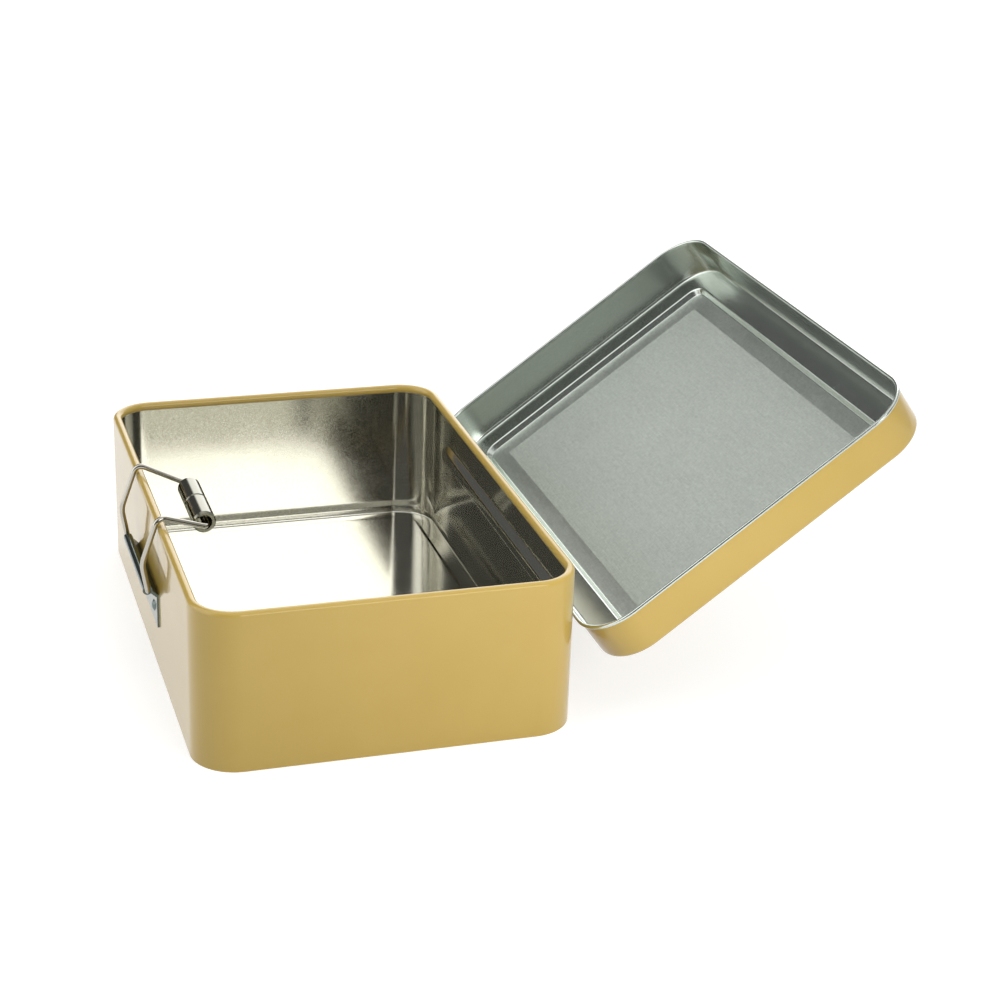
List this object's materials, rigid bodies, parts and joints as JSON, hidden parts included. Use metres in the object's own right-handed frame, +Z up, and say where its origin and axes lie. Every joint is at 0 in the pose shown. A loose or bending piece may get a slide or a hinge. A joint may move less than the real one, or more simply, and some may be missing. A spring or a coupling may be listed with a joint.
{
  "type": "hinged tin box",
  "caption": "Rounded rectangular tin box with a rolled rim, a back-hinged lid shown open, and a wire bail latch with a roller on the front.",
  "frame": {"origin": "centre of the body's underside, in the plane it stands on", "axes": "+X along the hinge, +Y from the latch wall towards the hinge wall, +Z up"},
  "size_m": [0.209, 0.2666, 0.1184],
  "materials": {
    "enamel": "glossy cream-gold enamel outside, bare tinplate inside",
    "tinplate": "satin",
    "steel_wire": "bright",
    "nickel": "bright"
  },
  "bodies": {
    "box": {"body_wall": "enamel", "body_bottom": "tinplate", "hinge_bracket": "tinplate", "hinge_pin": "steel_wire", "latch_plate": "nickel", "latch_rivet_a": "nickel", "latch_rivet_b": "nickel"},
    "lid": {"lid_pan": "enamel", "lid_leaf_a": "tinplate", "lid_leaf_b": "tinplate"},
    "latch": {"latch_wire": "steel_wire", "latch_tube_a": "nickel", "latch_tube_b": "nickel"}
  },
  "joints": [
    {"name": "lid_hinge", "type": "hinge", "parent": "box", "child": "lid", "pos_m": [0, 0.0691, 0.03885], "axis": [1, 0, 0], "range_deg": [0, 143.8]},
    {"name": "latch_pivot", "type": "hinge", "parent": "box", "child": "latch", "pos_m": [0, -0.0714, 0.0336], "axis": [1, 0, 0], "range_deg": [0, 108]}
  ],
  "couplings": [
    {"joint": "latch_pivot", "follows": "lid_hinge", "ratio": 0.75}
  ]
}
